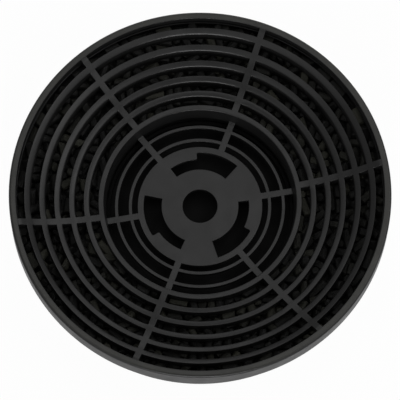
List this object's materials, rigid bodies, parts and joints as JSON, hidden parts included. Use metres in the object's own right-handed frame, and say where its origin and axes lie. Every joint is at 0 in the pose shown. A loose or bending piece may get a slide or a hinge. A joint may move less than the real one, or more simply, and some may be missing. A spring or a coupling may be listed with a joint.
{
  "type": "cooker hood carbon filter",
  "caption": "Round black plastic carbon filter for a cooker hood, with a dished grille over carbon pellets and a recessed bayonet hub.",
  "frame": {"origin": "middle of the flat room-side face that the filter lies on", "axes": "+Z along the filter's axis, out of the bayonet hub towards the hood's motor; +X along one spoke"},
  "size_m": [0.19, 0.1896, 0.035],
  "materials": {
    "cover_plastic": "satin black moulded plastic",
    "shell_plastic": "satin black moulded plastic",
    "activated_carbon": "dull black pressed carbon pellets"
  },
  "bodies": {
    "root": {"front_cover": "cover_plastic", "rear_shell": "shell_plastic", "carbon_bed": "activated_carbon"}
  },
  "joints": []
}
